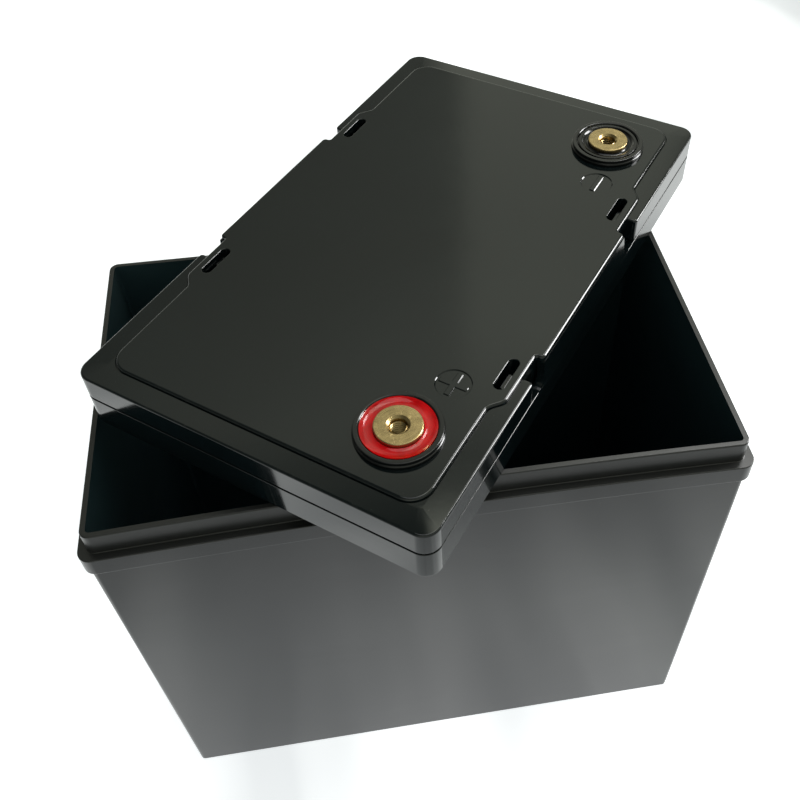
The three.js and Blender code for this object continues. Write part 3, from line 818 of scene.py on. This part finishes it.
def build_seal(pole):
    """Red resin creeps up both walls. The black one has a flat ring, and a trough round the post."""
    inner, outer, foot_z = POST_RADIUS + 0.15, 12.42, SEAL_FOOT_Z - 0.05
    if pole == "positive":
        material, slot = RED_RESIN, "red_resin"
        top_z, sag, fall, steps = 26.5, 0.55, 0.45, 24
        surface = [
            (outer - (outer - inner) * t, top_z - sag * math.sin(math.pi * t) ** 0.8 - fall * t)
            for t in [step / steps for step in range(steps + 1)]
        ]
    else:
        material, slot = BLACK_RESIN, "black_resin"
        side, ring_inner, trough_outer, edge = outer - 0.5, 10.7, 10.3, 0.2
        ring_z, trough_z, sag = 26.45, 26.0, 0.5
        ring = [(side, SEAL_FOOT_Z), (side, ring_z), (ring_inner, ring_z), (trough_outer, trough_z)]
        trough = [
            (inner + (trough_outer - inner) * t, trough_z - sag * math.sin(math.pi * t))
            for t in [0.15 * step for step in range(6, -1, -1)]
        ]
        surface = [(outer, SEAL_FOOT_Z + 0.05), *rounded_profile(ring, edge), *trough]
    bm = lathe([(inner, foot_z), (outer, foot_z), *surface], closed=True)
    finish_turned(f"{pole}_seal_cast", bm, pole, material, f"{pole}_terminal_seal")


for pole in ("positive", "negative"):
    build_post(pole)
    build_seat(pole)
    build_seal(pole)
    for part, material in (("o_ring", RUBBER), ("washer", HARDWARE_BRASS), ("nut", HARDWARE_BRASS)):
        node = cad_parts[f"{pole}_terminal_{part}"]
        node.data.materials.clear()
        node.data.materials.append(material)
        bevel = node.modifiers.new("soft_edges", "BEVEL")
        bevel.width = 0.0001
        bevel.segments = 2
        bevel.limit_method = "ANGLE"
        bevel.harden_normals = True

build_case_box()
build_lid_cover()
build_lid_skirt()


# ---------- studio ----------
def build_floor():
    """A pale floor with painted shade: bands for soft folds from front to back, and shade in front and at
    the far right.
    """
    bm = bmesh.new()
    reach = 8.0
    bm.faces.new([bm.verts.new((x * reach, y * reach, 0)) for x, y in ((-1, -1), (1, -1), (1, 1), (-1, 1))])
    floor = to_object("floor", bm)
    n = Nodes(bpy.data.materials.new("pale_floor"))
    # Painted shade: the flat floor gets lighter and darker bands for folds that its shape does not have.
    painted_fold_shade = n.noise(1.0, detail=2, roughness=0.4, vector=n.stretched((17, 4, 1), 0.15), distortion=0.3)
    floor_colour_with_painted_shade = n.mix(n.remap(painted_fold_shade, 0.35, 0.65, 0, 1), (0.62, 0.64, 0.66), (0.90, 0.92, 0.94))
    x, y, _ = n.axes()
    # Painted shade: the floor darkens in front, where whoever stands in front casts shade, and at the far
    # right.
    painted_shade_in_front = n.remap(y, -0.27, -0.12, 1, 0)
    painted_shade_far_right = n.remap(x, 0.36, 0.5, 0, 0.8)
    floor_colour_with_painted_shade = n.mix(n.math("MAXIMUM", painted_shade_in_front, painted_shade_far_right), floor_colour_with_painted_shade, (0.30, 0.31, 0.32))
    n.link(floor_colour_with_painted_shade, n.shader.inputs["Base Color"])
    # The floor glows in this colour, painted shade included, so it stays pale in the box's shadow.
    n.link(floor_colour_with_painted_shade, n.shader.inputs["Emission Color"])
    n.shader.inputs["Emission Strength"].default_value = 1.1
    n.shader.inputs["Roughness"].default_value = 0.9
    n.shader.inputs["Specular IOR Level"].default_value = 0.1
    floor.data.materials.append(n.owner)


def build_world():
    """A white horizon, a ceiling that brightens with height, a window at the back right and a high glow."""
    world = bpy.data.worlds.new("studio")
    bpy.context.scene.world = world
    n = Nodes(world)
    x, y, z = n.axes(n.coordinates.outputs["Generated"])
    azimuth = n.math("ARCTAN2", x, y)
    turn = n.remap(azimuth, math.radians(5), math.radians(85), 0, 1)

    leaning = n.math("ADD", z, n.math("MULTIPLY", x, 0.35))
    dim_middle = [(0, 1), (0.2, 0.8), (0.36, 0.26), (0.515, 0.24)]
    bright_top = [(0.64, 0.38), (0.7, 0.47), (0.77, 0.64), (0.9, 0.7)]
    ceiling = n.ramp(leaning, [*dim_middle, *bright_top])
    ceiling = n.math("MULTIPLY", ceiling, n.remap(x, -0.75, -0.25, 0.15, 1))

    window = n.ramp(z, [(0, 1), (0.2, 0.85), (0.5, 0.64), (0.64, 0.75), (0.72, 0.9), (0.8, 0.7)])
    window_edge = [(0.048, 0), (0.066, 0.95)]
    bright_bar = [(0.125, 0.95), (0.135, 1), (0.15, 1), (0.165, 0.95)]
    in_window = n.ramp(turn, [*window_edge, *bright_bar, (0.7, 0.9), (1, 0)])
    level = n.mix(in_window, ceiling, window)

    curtain = n.ramp(turn, [(0.295, 1), (0.32, 0.45), (0.7, 0.45), (0.8, 1)])
    zenith = n.ramp(z, [(0.79, 1), (0.83, 0.6), (0.86, 0.4), (0.9, 0.1), (1, 0.05)])
    level = n.math("MULTIPLY", n.math("MULTIPLY", level, curtain), zenith)

    high = n.ramp(z, [(0.85, 0), (0.88, 1), (0.95, 1), (0.98, 0)])
    to_the_right = n.math("MULTIPLY", n.remap(azimuth, 0.1, 0.3, 0, 1), n.remap(azimuth, 1.1, 1.4, 1, 0))
    glow = n.math("MULTIPLY", n.math("MULTIPLY", high, to_the_right), 2.2)
    level = n.math("ADD", level, glow)
    background = n.tree.nodes["Background"]
    background.inputs["Color"].default_value = (0.96, 1.0, 0.84, 1)
    n.link(n.math("MULTIPLY", level, 1.2), background.inputs["Strength"])


def add_softbox(name, place, width, height, radiance):
    """A rectangle of even light that faces the object and shows in its gloss only."""
    data = bpy.data.lights.new(name, "AREA")
    data.shape = "RECTANGLE"
    data.size, data.size_y = width, height
    data.energy = radiance * math.pi * width * height
    light = bpy.data.objects.new(name, data)
    light.location = place
    light.rotation_euler = (Vector((0, 0, 0.15)) - light.location).to_track_quat("-Z", "Y").to_euler()
    light.visible_diffuse = False
    bpy.context.scene.collection.objects.link(light)


def build_lights():
    """A wide soft light overhead, and softboxes to the right and high at the back right."""
    data = bpy.data.lights.new("overhead", "SUN")
    data.energy = 0.4
    data.angle = math.radians(34)
    data.color = (0.97, 0.99, 1.0)
    overhead = bpy.data.objects.new("overhead", data)
    overhead.rotation_euler = (math.radians(-4), math.radians(3), 0)
    bpy.context.scene.collection.objects.link(overhead)
    add_softbox("right_softbox", (1.5, 0.15, 0.80), 0.5, 1.2, 24)
    add_softbox("back_right_softbox", (0.85, 0.80, 1.87), 0.5, 0.35, 13)


def build_camera():
    """The camera looks down at the front corner of the lid from a little left of the middle."""
    data = bpy.data.cameras.new("camera")
    camera = bpy.data.objects.new("camera", data)
    bpy.context.scene.collection.objects.link(camera)
    ahead = Vector((0.0859, 0.6751, -0.7327)).normalized()
    upward = Vector((0.1273, 0.7220, 0.6801))
    right = ahead.cross(upward).normalized()
    upward = right.cross(ahead)
    turn = Matrix((right, upward, -ahead)).transposed()
    camera.matrix_world = Matrix.Translation((-0.0169, -0.2451, 0.4535)) @ turn.to_4x4()
    data.lens = 43.2
    data.shift_x, data.shift_y = -0.0478, -0.0628
    data.clip_start, data.clip_end = 0.01, 50
    bpy.context.scene.camera = camera


build_floor()
build_world()
build_lights()
build_camera()
bpy.context.scene.view_settings.view_transform = "Standard"
